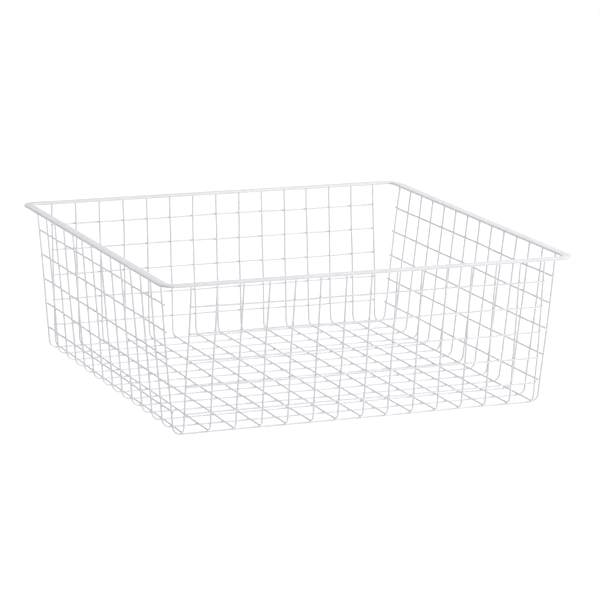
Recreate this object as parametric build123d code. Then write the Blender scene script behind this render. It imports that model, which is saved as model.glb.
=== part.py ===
from build123d import *
import os
from math import cos, radians, sin, tan
from build123d.topology import SkipClean

# Wire produce basket, millimetres, +Z up.
# The origin is the centre of the floor area that the basket stands on.
# X runs along the long side of the rim, and -Y is the front.

# rim
rim_width = 557.0
rim_depth = 545.0
basket_height = 195.8
rim_band = 12.6
rim_thickness = 3.1
rim_corner_radius = 20.0
rim_edge_radius = 0.8
rim_weld_strip = 3.0

# wires
wire_diameter = 2.3
bend_radius = 10.0
wall_lean = 5.6
wire_inset_under_rim = 1.45

# mesh
front_back_wire_count = 15
front_back_wire_pitch = 34.0
side_side_wire_count = 14
side_side_wire_pitch = 36.0
wall_row_count = 5
wall_row_pitch = 34.0
front_first_row_height = 30.0
side_first_row_height = 28.8
row_overhang = 1.5

# worked out from the sizes above
wire_radius = wire_diameter / 2
outer_layer_z = wire_radius
inner_layer_z = wire_radius + wire_diameter
lean_angle = radians(wall_lean)
rim_bottom_z = basket_height - rim_thickness
rim_inner_half_width = rim_width / 2 - rim_band
rim_inner_half_depth = rim_depth / 2 - rim_band


def rim():
    """Flat bar bent to a rounded rectangle, with its edges rounded.

    The bar's faces are parted along a line, with the ledge that rests on runners outside
    it and the strip that the uprights are welded to inside it.
    """
    outline = RectangleRounded(rim_width, rim_depth, rim_corner_radius)
    opening_radius = rim_corner_radius - rim_band
    opening = RectangleRounded(2 * rim_inner_half_width, 2 * rim_inner_half_depth, opening_radius)
    bar = extrude(outline - opening, amount=rim_thickness)
    long_edges = bar.edges().filter_by(lambda edge: abs(edge.tangent_at(0.5).Z) < 0.5)
    bar = fillet(long_edges, rim_edge_radius)
    ledge = rim_band - rim_weld_strip
    inside = RectangleRounded(rim_width - 2 * ledge, rim_depth - 2 * ledge, rim_corner_radius - ledge)
    inside = extrude(inside, amount=rim_thickness)
    with SkipClean():
        bar = (bar - inside) + (bar & inside)
    return Pos(0, 0, rim_bottom_z) * bar


def upright_reach(half_opening, height):
    """Distance from the basket's middle to the axis of an upright at this height.

    The uprights stand under the rim, a little out from its inner edge.
    """
    reach_at_rim = half_opening + wire_inset_under_rim
    return reach_at_rim - (rim_bottom_z - height) * tan(lean_angle)


def u_wire(half_opening, bottom_z):
    """One wire along X: flat over the bottom, with both ends bent up to the rim.

    The ends are cut level, so that they butt against the underside of the rim.
    """
    uncut_z = rim_bottom_z + wire_diameter
    top = upright_reach(half_opening, uncut_z)
    foot = upright_reach(half_opening, bottom_z)
    corners = [
        (-top, 0, uncut_z),
        (-foot, 0, bottom_z),
        (foot, 0, bottom_z),
        (top, 0, uncut_z),
    ]
    path = FilletPolyline(*corners, radius=bend_radius)
    section = path.location_at(0) * Circle(wire_radius)
    wire = sweep(section, path=path)
    return split(wire, bisect_by=Plane.XY.offset(rim_bottom_z), keep=Keep.BOTTOM)


def level_wire(wire_count, pitch):
    """One straight wire along X that crosses this many uprights."""
    length = (wire_count - 1) * pitch + 2 * row_overhang
    return Rot(0, 90, 0) * Cylinder(wire_radius, length)


def row_place(half_opening, first_height, row, side):
    """Reach and height of a level wire that lies against the uprights.

    side is +1 for outside the uprights and -1 for inside them.
    """
    height = first_height + row * wall_row_pitch * cos(lean_angle)
    reach = upright_reach(half_opening, height) + side * wire_diameter * cos(lean_angle)
    return reach, height - side * wire_diameter * sin(lean_angle)


def spread(number, count, pitch):
    """Place of one of a centred row of wires."""
    return (number - (count - 1) / 2) * pitch


def save(shape, node):
    export_step(shape, "parts/" + node + ".step")


os.makedirs("parts", exist_ok=True)

save(rim(), "rim")

# inner layer: down the back wall, over the bottom and up the front wall
front_back_shape = Rot(0, 0, 90) * u_wire(rim_inner_half_depth, inner_layer_z)
for number in range(front_back_wire_count):
    x = spread(number, front_back_wire_count, front_back_wire_pitch)
    save(Pos(x, 0, 0) * front_back_shape, "front_back_wire_%02d" % (number + 1))

# outer layer: down the left wall, under the bottom and up the right wall
side_side_shape = u_wire(rim_inner_half_width, outer_layer_z)
for number in range(side_side_wire_count):
    y = spread(number, side_side_wire_count, side_side_wire_pitch)
    save(Pos(0, y, 0) * side_side_shape, "side_side_wire_%02d" % (number + 1))

# level wires of the front and back walls, outside the uprights
front_row_shape = level_wire(front_back_wire_count, front_back_wire_pitch)
for row in range(wall_row_count):
    y, z = row_place(rim_inner_half_depth, front_first_row_height, row, 1)
    save(Pos(0, -y, z) * front_row_shape, "front_wall_wire_%d" % (row + 1))
    save(Pos(0, y, z) * front_row_shape, "back_wall_wire_%d" % (row + 1))

# level wires of the left and right walls, inside the uprights
side_row_shape = Rot(0, 0, 90) * level_wire(side_side_wire_count, side_side_wire_pitch)
for row in range(wall_row_count):
    x, z = row_place(rim_inner_half_width, side_first_row_height, row, -1)
    save(Pos(-x, 0, z) * side_row_shape, "left_wall_wire_%d" % (row + 1))
    save(Pos(x, 0, z) * side_row_shape, "right_wall_wire_%d" % (row + 1))
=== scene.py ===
import math
import random

import bmesh
import bpy
from mathutils import Matrix, Vector


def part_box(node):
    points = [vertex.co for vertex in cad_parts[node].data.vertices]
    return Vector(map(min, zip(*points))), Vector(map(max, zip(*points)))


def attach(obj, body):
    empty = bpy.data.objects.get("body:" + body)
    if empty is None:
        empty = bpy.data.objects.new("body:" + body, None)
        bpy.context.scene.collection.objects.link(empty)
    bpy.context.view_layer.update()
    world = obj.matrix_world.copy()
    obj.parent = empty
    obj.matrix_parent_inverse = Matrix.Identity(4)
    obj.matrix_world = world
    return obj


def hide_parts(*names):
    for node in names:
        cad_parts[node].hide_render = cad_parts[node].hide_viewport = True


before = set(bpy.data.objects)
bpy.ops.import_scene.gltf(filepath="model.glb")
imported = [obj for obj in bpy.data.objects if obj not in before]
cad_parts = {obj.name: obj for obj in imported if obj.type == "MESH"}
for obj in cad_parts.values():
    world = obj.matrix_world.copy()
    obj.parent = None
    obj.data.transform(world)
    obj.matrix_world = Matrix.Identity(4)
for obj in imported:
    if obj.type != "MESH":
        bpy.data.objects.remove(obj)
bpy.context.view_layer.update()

# ---------------------------------------------------------------- camera
# A long lens a good way off, a little above the rim and off the front left
# corner, so that the basket shows its left wall, its front wall and its inside.
camera_place = (-1.5263, -3.5667, 0.9885)
camera_turn = -23.394
camera_dip = 12.886
camera_roll = 1.175

camera_data = bpy.data.cameras.new("camera")
camera_data.lens = 182.4
camera_data.sensor_width = 36.0
camera_data.clip_end = 100.0
camera = bpy.data.objects.new("camera", camera_data)
camera.matrix_world = (
    Matrix.Translation(camera_place)
    @ Matrix.Rotation(math.radians(camera_turn), 4, "Z")
    @ Matrix.Rotation(math.radians(90.0 - camera_dip), 4, "X")
    @ Matrix.Rotation(math.radians(camera_roll), 4, "Z")
)
bpy.context.collection.objects.link(camera)
bpy.context.scene.camera = camera

# ---------------------------------------------------------------- rim
# One flat bar bent on edge to a rounded rectangle, with its ends butt welded in
# the back run. The whole welded basket is then powder coated white.
rim_band = 0.0126
rim_thickness = 0.0031
rim_corner_radius = 0.020
rim_edge_radius = 0.0008
rim_crown = 0.00012
rim_step = 0.0025
rim_corner_steps = 24
rim_edge_steps = 4
rim_seam_x = 0.051
rim_seam_width = 0.0045
rim_seam_dip = 0.00022
coat_colour = (0.797, 0.80, 0.830, 1.0)
coat_shade = (0.737, 0.74, 0.775, 1.0)
coat_ior = 1.52
coat_gloss_layer = 0.15
coat_gloss_roughness = 0.22
coat_roughness_low = 0.34
coat_roughness_high = 0.46
coat_drift_scale = 38.0
orange_peel_scale = 900.0
orange_peel_strength = 0.25
orange_peel_depth = 0.00012


def coat_material():
    """White powder coat: satin, with a fine orange peel and faint drifts in tone."""
    material = bpy.data.materials.new("white_powder_coat")
    material.use_nodes = True
    nodes = material.node_tree.nodes
    links = material.node_tree.links
    shader = nodes["Principled BSDF"]
    shader.inputs["IOR"].default_value = coat_ior
    shader.inputs["Coat Weight"].default_value = coat_gloss_layer
    shader.inputs["Coat Roughness"].default_value = coat_gloss_roughness
    place = nodes.new("ShaderNodeTexCoord")
    drift = nodes.new("ShaderNodeTexNoise")
    drift.inputs["Scale"].default_value = coat_drift_scale
    drift.inputs["Detail"].default_value = 3.0
    tone = nodes.new("ShaderNodeMix")
    tone.data_type = "RGBA"
    tone.inputs["A"].default_value = coat_shade
    tone.inputs["B"].default_value = coat_colour
    gloss = nodes.new("ShaderNodeMapRange")
    gloss.inputs["To Min"].default_value = coat_roughness_low
    gloss.inputs["To Max"].default_value = coat_roughness_high
    peel = nodes.new("ShaderNodeTexNoise")
    peel.inputs["Scale"].default_value = orange_peel_scale
    peel.inputs["Detail"].default_value = 2.0
    bump = nodes.new("ShaderNodeBump")
    bump.inputs["Strength"].default_value = orange_peel_strength
    bump.inputs["Distance"].default_value = orange_peel_depth
    links.new(place.outputs["Object"], drift.inputs["Vector"])
    links.new(place.outputs["Object"], peel.inputs["Vector"])
    links.new(drift.outputs["Fac"], tone.inputs["Factor"])
    links.new(tone.outputs["Result"], shader.inputs["Base Color"])
    links.new(drift.outputs["Fac"], gloss.inputs["Value"])
    links.new(gloss.outputs["Result"], shader.inputs["Roughness"])
    links.new(peel.outputs["Fac"], bump.inputs["Height"])
    links.new(bump.outputs["Normal"], shader.inputs["Normal"])
    return material


white_coat = coat_material()


def make_piece(node, vertices, faces):
    """A smooth mesh piece that stands for one CAD node."""
    mesh = bpy.data.meshes.new(node + "_look")
    mesh.from_pydata(vertices, [], faces)
    shell = bmesh.new()
    shell.from_mesh(mesh)
    bmesh.ops.recalc_face_normals(shell, faces=shell.faces)
    shell.to_mesh(mesh)
    shell.free()
    mesh.shade_smooth()
    mesh.materials.append(white_coat)
    piece = bpy.data.objects.new(node + "_look", mesh)
    bpy.context.collection.objects.link(piece)
    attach(piece, "root")
    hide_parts(node)
    return piece


def rim_section():
    """Closed outline of the bar as (across, up) from its middle, edges rounded."""
    half_band = rim_band / 2
    half_thick = rim_thickness / 2
    outline = []
    corners = ((1, 1, 0), (-1, 1, 90), (-1, -1, 180), (1, -1, 270))
    for side, level, start in corners:
        for step in range(rim_edge_steps + 1):
            angle = math.radians(start + 90.0 * step / rim_edge_steps)
            across = side * (half_band - rim_edge_radius) + rim_edge_radius * math.cos(angle)
            up = level * (half_thick - rim_crown - rim_edge_radius) + rim_edge_radius * math.sin(angle)
            outline.append((across, up))
        if side == level:
            outline.append((0.0, level * half_thick))
    return outline


def rim_path(half_width, half_depth, radius):
    """Points round the bar's middle line, each with its outward direction."""
    path = []
    corners = ((1, -1, -90), (1, 1, 0), (-1, 1, 90), (-1, -1, 180))
    for side, end, start in corners:
        centre = Vector((side * (half_width - radius), end * (half_depth - radius), 0.0))
        for step in range(rim_corner_steps + 1):
            angle = math.radians(start + 90.0 * step / rim_corner_steps)
            outward = Vector((math.cos(angle), math.sin(angle), 0.0))
            path.append((centre + outward * radius, outward))
        along = Vector((-math.sin(angle), math.cos(angle), 0.0))
        run = 2 * ((half_depth if abs(along.y) > 0.5 else half_width) - radius)
        count = round(run / rim_step)
        for step in range(1, count):
            path.append((centre + outward * radius + along * run * step / count, outward))
    return path


def make_rim():
    """The bar swept round its path, with the coated butt weld a little thinner."""
    low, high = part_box("rim")
    half_width = (high.x - low.x - rim_band) / 2
    half_depth = (high.y - low.y - rim_band) / 2
    middle_z = (high.z + low.z) / 2
    outline = rim_section()
    path = rim_path(half_width, half_depth, rim_corner_radius - rim_band / 2)
    vertices = []
    faces = []
    for point, outward in path:
        seam = 0.0
        if point.y > 0 and abs(point.x - rim_seam_x) < rim_seam_width:
            seam = rim_seam_dip * (0.5 + 0.5 * math.cos(math.pi * (point.x - rim_seam_x) / rim_seam_width))
        for across, up in outline:
            shrink = 1.0 - seam / (rim_thickness / 2)
            vertices.append(point + outward * across + Vector((0.0, 0.0, middle_z + up * shrink)))
    count = len(outline)
    for ring in range(len(path)):
        following = (ring + 1) % len(path)
        for step in range(count):
            nearby = (step + 1) % count
            faces.append((
                ring * count + step,
                following * count + step,
                following * count + nearby,
                ring * count + nearby,
            ))
    return make_piece("rim", vertices, faces)


make_rim()

# ---------------------------------------------------------------- front to back wires
# Drawn steel wires of the inner layer. Each runs down the back wall, over the
# bottom and up the front wall, and both of its ends butt against the underside
# of the rim, where they are resistance welded.
wire_radius = 0.00115
wire_sides = 16
wire_step = 0.004
bend_radius = 0.010
bend_steps = 10
wall_lean = math.radians(5.6)
sheared_end = ((0.0, 0.35), (0.00003, 0.72), (0.00013, 0.91), (0.00036, 0.985))
sway = 0.00035
sway_lengths = (0.31, 0.17, 0.09)
wall_bow = 0.00045
floor_lift = 0.0002
full_bow_reach = 0.2
floor_lift_start = 0.020
floor_lift_range = 0.013
crossing_reach = 0.00104
crossing_sides = 16
crossing_rings = ((0.0, 1.14, 0.00012), (0.0, 1.0, 0.0), (0.12, 0.86, 0.0), (0.5, 0.76, 0.0),
                  (0.88, 0.86, 0.0), (1.0, 1.0, 0.0), (1.0, 1.14, 0.00012))
rim_weld_height = 0.0011
rim_weld_flare = 0.00042
rim_weld_steps = 6
rim_weld_sides = 20
rim_weld_sink = 0.0002

up = Vector((0.0, 0.0, 1.0))
front_back_nodes = sorted(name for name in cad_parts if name.startswith("front_back_wire"))
side_side_nodes = sorted(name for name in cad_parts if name.startswith("side_side_wire"))
wall_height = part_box("rim")[0].z
middle = {node: (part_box(node)[0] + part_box(node)[1]) / 2 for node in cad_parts}


def wall_share(reach):
    """Goes from -1 at one wall to 1 at the wall across from it."""
    return max(-1.0, min(1.0, reach / full_bow_reach))


def settle(point):
    """The point moved by the slight bow that the welded walls and bottom have.

    The waves of the bow are in radians per metre, and have no common step.
    """
    wall = wall_bow * math.sin(math.pi * max(0.0, min(1.0, point.z / wall_height)))
    bow_x = math.sin(point.y * 22.0 + 0.4) + 0.6 * math.sin(point.y * 37.0 - point.z * 27.0)
    bow_y = math.sin(point.x * 19.0 + 1.3) + 0.6 * math.sin(point.x * 41.0 + point.z * 23.0)
    lift = floor_lift * (1.0 + math.sin(point.x * 17.0 + 2.0) * math.sin(point.y * 15.0 + 0.7))
    return point + Vector((
        wall * bow_x * wall_share(point.x) ** 3,
        wall * bow_y * wall_share(point.y) ** 3,
        lift * max(0.0, min(1.0, (floor_lift_start - point.z) / floor_lift_range)),
    ))


def sway_at(node, distance):
    """How far a wire strays sideways from its place in the mesh, at a point along it."""
    random.seed(node)
    total = 0.0
    for length in sway_lengths:
        phase = random.uniform(0.0, 2 * math.pi)
        total += sway * length / sway_lengths[0] * math.sin(2 * math.pi * distance / length + phase)
    return total


def front_back_sway(node, point):
    """How far a front to back wire strays from its place at a point on it."""
    return Vector((sway_at(node, point.y + point.z * wall_share(point.y)), 0.0, 0.0))


def side_side_sway(node, point):
    """The same for a side to side wire."""
    return Vector((0.0, sway_at(node, point.x + point.z * wall_share(point.x)), 0.0))


def u_path(half_reach, bottom_z, top_z):
    """(reach, height) points of a wire from one rim weld to the other."""
    top_reach = half_reach - wire_radius / math.cos(wall_lean)
    top_height = top_z - wire_radius * math.sin(wall_lean)
    top_reach -= (top_z - top_height) * math.tan(wall_lean)
    foot_reach = top_reach - (top_height - bottom_z) * math.tan(wall_lean)
    turn = math.pi / 2 - wall_lean
    flat = foot_reach - bend_radius * math.tan(turn / 2)
    centre = Vector((flat, bottom_z + bend_radius))
    bend_top = centre + bend_radius * Vector((math.cos(wall_lean), -math.sin(wall_lean)))
    wall = Vector((top_reach, top_height)) - bend_top
    wall_count = round(wall.length / wire_step)
    half = [bend_top + wall * (1.0 - step / wall_count) for step in range(wall_count)]
    for step in range(bend_steps):
        angle = -wall_lean - turn * step / bend_steps
        half.append(centre + bend_radius * Vector((math.cos(angle), math.sin(angle))))
    flat_count = round(2 * flat / wire_step)
    bottom = [Vector((flat - 2 * flat * step / flat_count, bottom_z)) for step in range(flat_count + 1)]
    return half + bottom + [Vector((-point.x, point.y)) for point in reversed(half)]


def add_rings(rings, vertices, faces):
    """Skins a row of closed rings, with a flat cap on each end."""
    count = len(rings[0])
    base = len(vertices)
    for ring in rings:
        vertices.extend(ring)
    for ring in range(len(rings) - 1):
        low = base + ring * count
        high = low + count
        for step in range(count):
            nearby = (step + 1) % count
            faces.append((low + step, low + nearby, high + nearby, high + step))
    faces.append(tuple(range(base + count - 1, base - 1, -1)))
    faces.append(tuple(range(len(vertices) - count, len(vertices))))


def add_wire(points, side, vertices, faces):
    """A round wire along points, its sheared ends softened by the coating."""
    start = (points[1] - points[0]).normalized()
    finish = (points[-1] - points[-2]).normalized()
    spine = [(points[0] + start * back, start, wide) for back, wide in sheared_end]
    for index in range(1, len(points) - 1):
        spine.append((points[index], (points[index + 1] - points[index - 1]).normalized(), 1.0))
    spine += [(points[-1] - finish * back, finish, wide) for back, wide in reversed(sheared_end)]
    rings = []
    for centre, along, wide in spine:
        across = (side - along * side.dot(along)).normalized() * wire_radius * wide
        other = along.cross(across)
        turns = [2 * math.pi * step / wire_sides for step in range(wire_sides)]
        rings.append([centre + across * math.cos(turn) + other * math.sin(turn) for turn in turns])
    add_rings(rings, vertices, faces)


def add_crossing(contact, along, normal, vertices, faces):
    """The neck of coating round the weld where two wires cross.

    along is the line of the wire on the far side of the contact from normal.
    """
    over = normal.cross(along)
    reach = crossing_reach * random.uniform(0.9, 1.05)
    turns = [2 * math.pi * step / crossing_sides for step in range(crossing_sides)]
    rings = []
    for share, wide, sink in crossing_rings:
        ring = []
        for turn in turns:
            x = reach * math.cos(turn)
            y = reach * math.sin(turn)
            below = math.sqrt(wire_radius**2 - y * y) - wire_radius - sink
            above = wire_radius - math.sqrt(wire_radius**2 - x * x) + sink
            height = below + (above - below) * share
            ring.append(contact + (along * x + over * y) * wide + normal * height)
        rings.append(ring)
    add_rings(rings, vertices, faces)


def add_rim_weld(end, inner, top_z, vertices, faces):
    """The collar of weld and coating between an upright's end and the underside of the rim."""
    rise = (end - inner).normalized()
    flare = rim_weld_flare * random.uniform(0.85, 1.15)
    squash = random.uniform(0.92, 1.04)
    turns = [2 * math.pi * step / rim_weld_sides for step in range(rim_weld_sides)]
    rings = []
    for step in range(rim_weld_steps + 1):
        share = step / rim_weld_steps
        height = top_z + rim_weld_sink - (rim_weld_height + rim_weld_sink) * (1.0 - share)
        centre = end + rise * ((height - end.z) / rise.z)
        radius = wire_radius * 0.995 + flare * (1.0 - math.sqrt(1.0 - share**2))
        ring = [Vector((math.cos(turn), math.sin(turn) * squash, 0.0)) for turn in turns]
        rings.append([centre + place * radius for place in ring])
    add_rings(rings, vertices, faces)


def add_rim_welds(points, top_z, vertices, faces):
    """Welds both ends of a bent wire to the underside of the rim, at top_z."""
    add_rim_weld(points[0], points[1], top_z, vertices, faces)
    add_rim_weld(points[-1], points[-2], top_z, vertices, faces)


def make_front_back_wire(node):
    """The bent wire, its two rim welds, and the necks down to the wires it crosses."""
    low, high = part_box(node)
    points = []
    for reach, height in u_path(high.y, low.z + wire_radius, high.z):
        point = Vector((middle[node].x, reach, height))
        points.append(settle(point + front_back_sway(node, point)))
    vertices = []
    faces = []
    add_wire(points, Vector((1.0, 0.0, 0.0)), vertices, faces)
    add_rim_welds(points, high.z, vertices, faces)
    for under in side_side_nodes:
        contact = Vector((middle[node].x, middle[under].y, low.z))
        contact = settle(contact + front_back_sway(node, contact) + side_side_sway(under, contact))
        add_crossing(contact, Vector((1.0, 0.0, 0.0)), up, vertices, faces)
    make_piece(node, vertices, faces)


for node in front_back_nodes:
    make_front_back_wire(node)

# ---------------------------------------------------------------- side to side wires
# The outer layer, bent the same way: down the left wall, under the bottom,
# where the basket stands on them, and up the right wall to the rim.


def make_side_side_wire(node):
    """The bent wire and its two rim welds. The necks belong to the wires that cross it."""
    low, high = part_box(node)
    points = []
    for reach, height in u_path(high.x, low.z + wire_radius, high.z):
        point = Vector((reach, middle[node].y, height))
        points.append(settle(point + side_side_sway(node, point)))
    vertices = []
    faces = []
    add_wire(points, Vector((0.0, 1.0, 0.0)), vertices, faces)
    add_rim_welds(points, high.z, vertices, faces)
    make_piece(node, vertices, faces)


for node in side_side_nodes:
    make_side_side_wire(node)

# ---------------------------------------------------------------- level wall wires
# Straight wires welded across the uprights, outside them on the front and back
# walls and inside them on the left and right walls. They are sheared off about
# flush with the last upright, which leaves the corners of the basket open.
wall_sides = {
    "front": (Vector((0.0, -1.0, 0.0)), 1, front_back_nodes, front_back_sway),
    "back": (Vector((0.0, 1.0, 0.0)), 1, front_back_nodes, front_back_sway),
    "left": (Vector((-1.0, 0.0, 0.0)), -1, side_side_nodes, side_side_sway),
    "right": (Vector((1.0, 0.0, 0.0)), -1, side_side_nodes, side_side_sway),
}


def make_level_wire(node):
    """One straight wire with a neck at each upright, on whichever side of them it lies."""
    facing, layer, uprights, upright_sway = wall_sides[node.split("_")[0]]
    upward = up * math.cos(wall_lean) + facing * math.sin(wall_lean)
    outward = facing * math.cos(wall_lean) - up * math.sin(wall_lean)
    level = up.cross(facing)
    low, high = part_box(node)
    half_length = abs((high - low).dot(level)) / 2
    count = round(2 * half_length / wire_step)
    points = []
    for step in range(count + 1):
        place = half_length * (2 * step / count - 1)
        point = middle[node] + level * place
        points.append(settle(point + upward * sway_at(node, place)))
    vertices = []
    faces = []
    add_wire(points, up, vertices, faces)
    for upright in uprights:
        place = middle[upright].dot(level)
        contact = middle[node] + level * place - outward * wire_radius * layer
        drift = upright_sway(upright, contact) + upward * sway_at(node, place)
        contact = settle(contact + drift)
        add_crossing(contact, upward if layer > 0 else level, outward, vertices, faces)
    make_piece(node, vertices, faces)


for node in sorted(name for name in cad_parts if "_wall_wire_" in name):
    make_level_wire(node)

# ---------------------------------------------------------------- floor
# A matt white table, lit a little from below as a sweep table is.
floor_size = 60.0
floor_glow = 0.92
floor_dark = (0.18, 0.18, 0.18, 1.0)
floor_light = (0.20, 0.20, 0.20, 1.0)

floor_material = bpy.data.materials.new("white_table")
floor_material.use_nodes = True
floor_nodes = floor_material.node_tree.nodes
floor_shader = floor_nodes["Principled BSDF"]
floor_shader.inputs["Roughness"].default_value = 0.9
floor_shader.inputs["Specular IOR Level"].default_value = 0.1
floor_shader.inputs["Emission Color"].default_value = (1.0, 1.0, 1.0, 1.0)
floor_shader.inputs["Emission Strength"].default_value = floor_glow
floor_grain = floor_nodes.new("ShaderNodeTexNoise")
floor_grain.inputs["Scale"].default_value = 3.0
floor_tone = floor_nodes.new("ShaderNodeMix")
floor_tone.data_type = "RGBA"
floor_tone.inputs["A"].default_value = floor_dark
floor_tone.inputs["B"].default_value = floor_light
floor_material.node_tree.links.new(floor_grain.outputs["Fac"], floor_tone.inputs["Factor"])
floor_material.node_tree.links.new(floor_tone.outputs["Result"], floor_shader.inputs["Base Color"])

floor_mesh = bpy.data.meshes.new("floor")
floor_edge = floor_size / 2
floor_corners = [(-floor_edge, -floor_edge, 0.0), (floor_edge, -floor_edge, 0.0),
                 (floor_edge, floor_edge, 0.0), (-floor_edge, floor_edge, 0.0)]
floor_mesh.from_pydata(floor_corners, [], [(0, 1, 2, 3)])
floor_mesh.materials.append(floor_material)
floor = bpy.data.objects.new("floor", floor_mesh)
bpy.context.collection.objects.link(floor)

# ---------------------------------------------------------------- light
# A soft light to the front right and one overhead, with a pale surround. The
# left side is left dim, so that what faces it stands out against the white.
sky_front = (1.0, 1.0, 1.0, 1.0)
sky_side = (0.30, 0.30, 0.31, 1.0)
sky_strength = 0.5
light_target = Vector((0.0, 0.0, 0.1))
softboxes = (
    ("front_light", (1.6, -1.5, 0.9), 1.3, 17.0),
    ("top_light", (0.6, 0.0, 2.4), 1.8, 44.0),
)

world = bpy.data.worlds.new("studio")
world.use_nodes = True
world_nodes = world.node_tree.nodes
world_place = world_nodes.new("ShaderNodeTexCoord")
world_split = world_nodes.new("ShaderNodeSeparateXYZ")
world_range = world_nodes.new("ShaderNodeMapRange")
world_range.interpolation_type = "SMOOTHSTEP"
world_range.inputs["From Min"].default_value = -1.0
world_range.inputs["From Max"].default_value = 0.6
world_mix = world_nodes.new("ShaderNodeMix")
world_mix.data_type = "RGBA"
world_mix.inputs["A"].default_value = sky_side
world_mix.inputs["B"].default_value = sky_front
world_links = world.node_tree.links
world_links.new(world_place.outputs["Generated"], world_split.inputs["Vector"])
world_links.new(world_split.outputs["X"], world_range.inputs["Value"])
world_links.new(world_range.outputs["Result"], world_mix.inputs["Factor"])
world_links.new(world_mix.outputs["Result"], world_nodes["Background"].inputs["Color"])
world_nodes["Background"].inputs["Strength"].default_value = sky_strength
bpy.context.scene.world = world

for name, place, size, power in softboxes:
    light_data = bpy.data.lights.new(name, "AREA")
    light_data.shape = "SQUARE"
    light_data.size = size
    light_data.energy = power
    light = bpy.data.objects.new(name, light_data)
    aim = light_target - Vector(place)
    light.matrix_world = Matrix.Translation(place) @ aim.to_track_quat("-Z", "Y").to_matrix().to_4x4()
    bpy.context.collection.objects.link(light)

bpy.context.scene.view_settings.view_transform = "Standard"
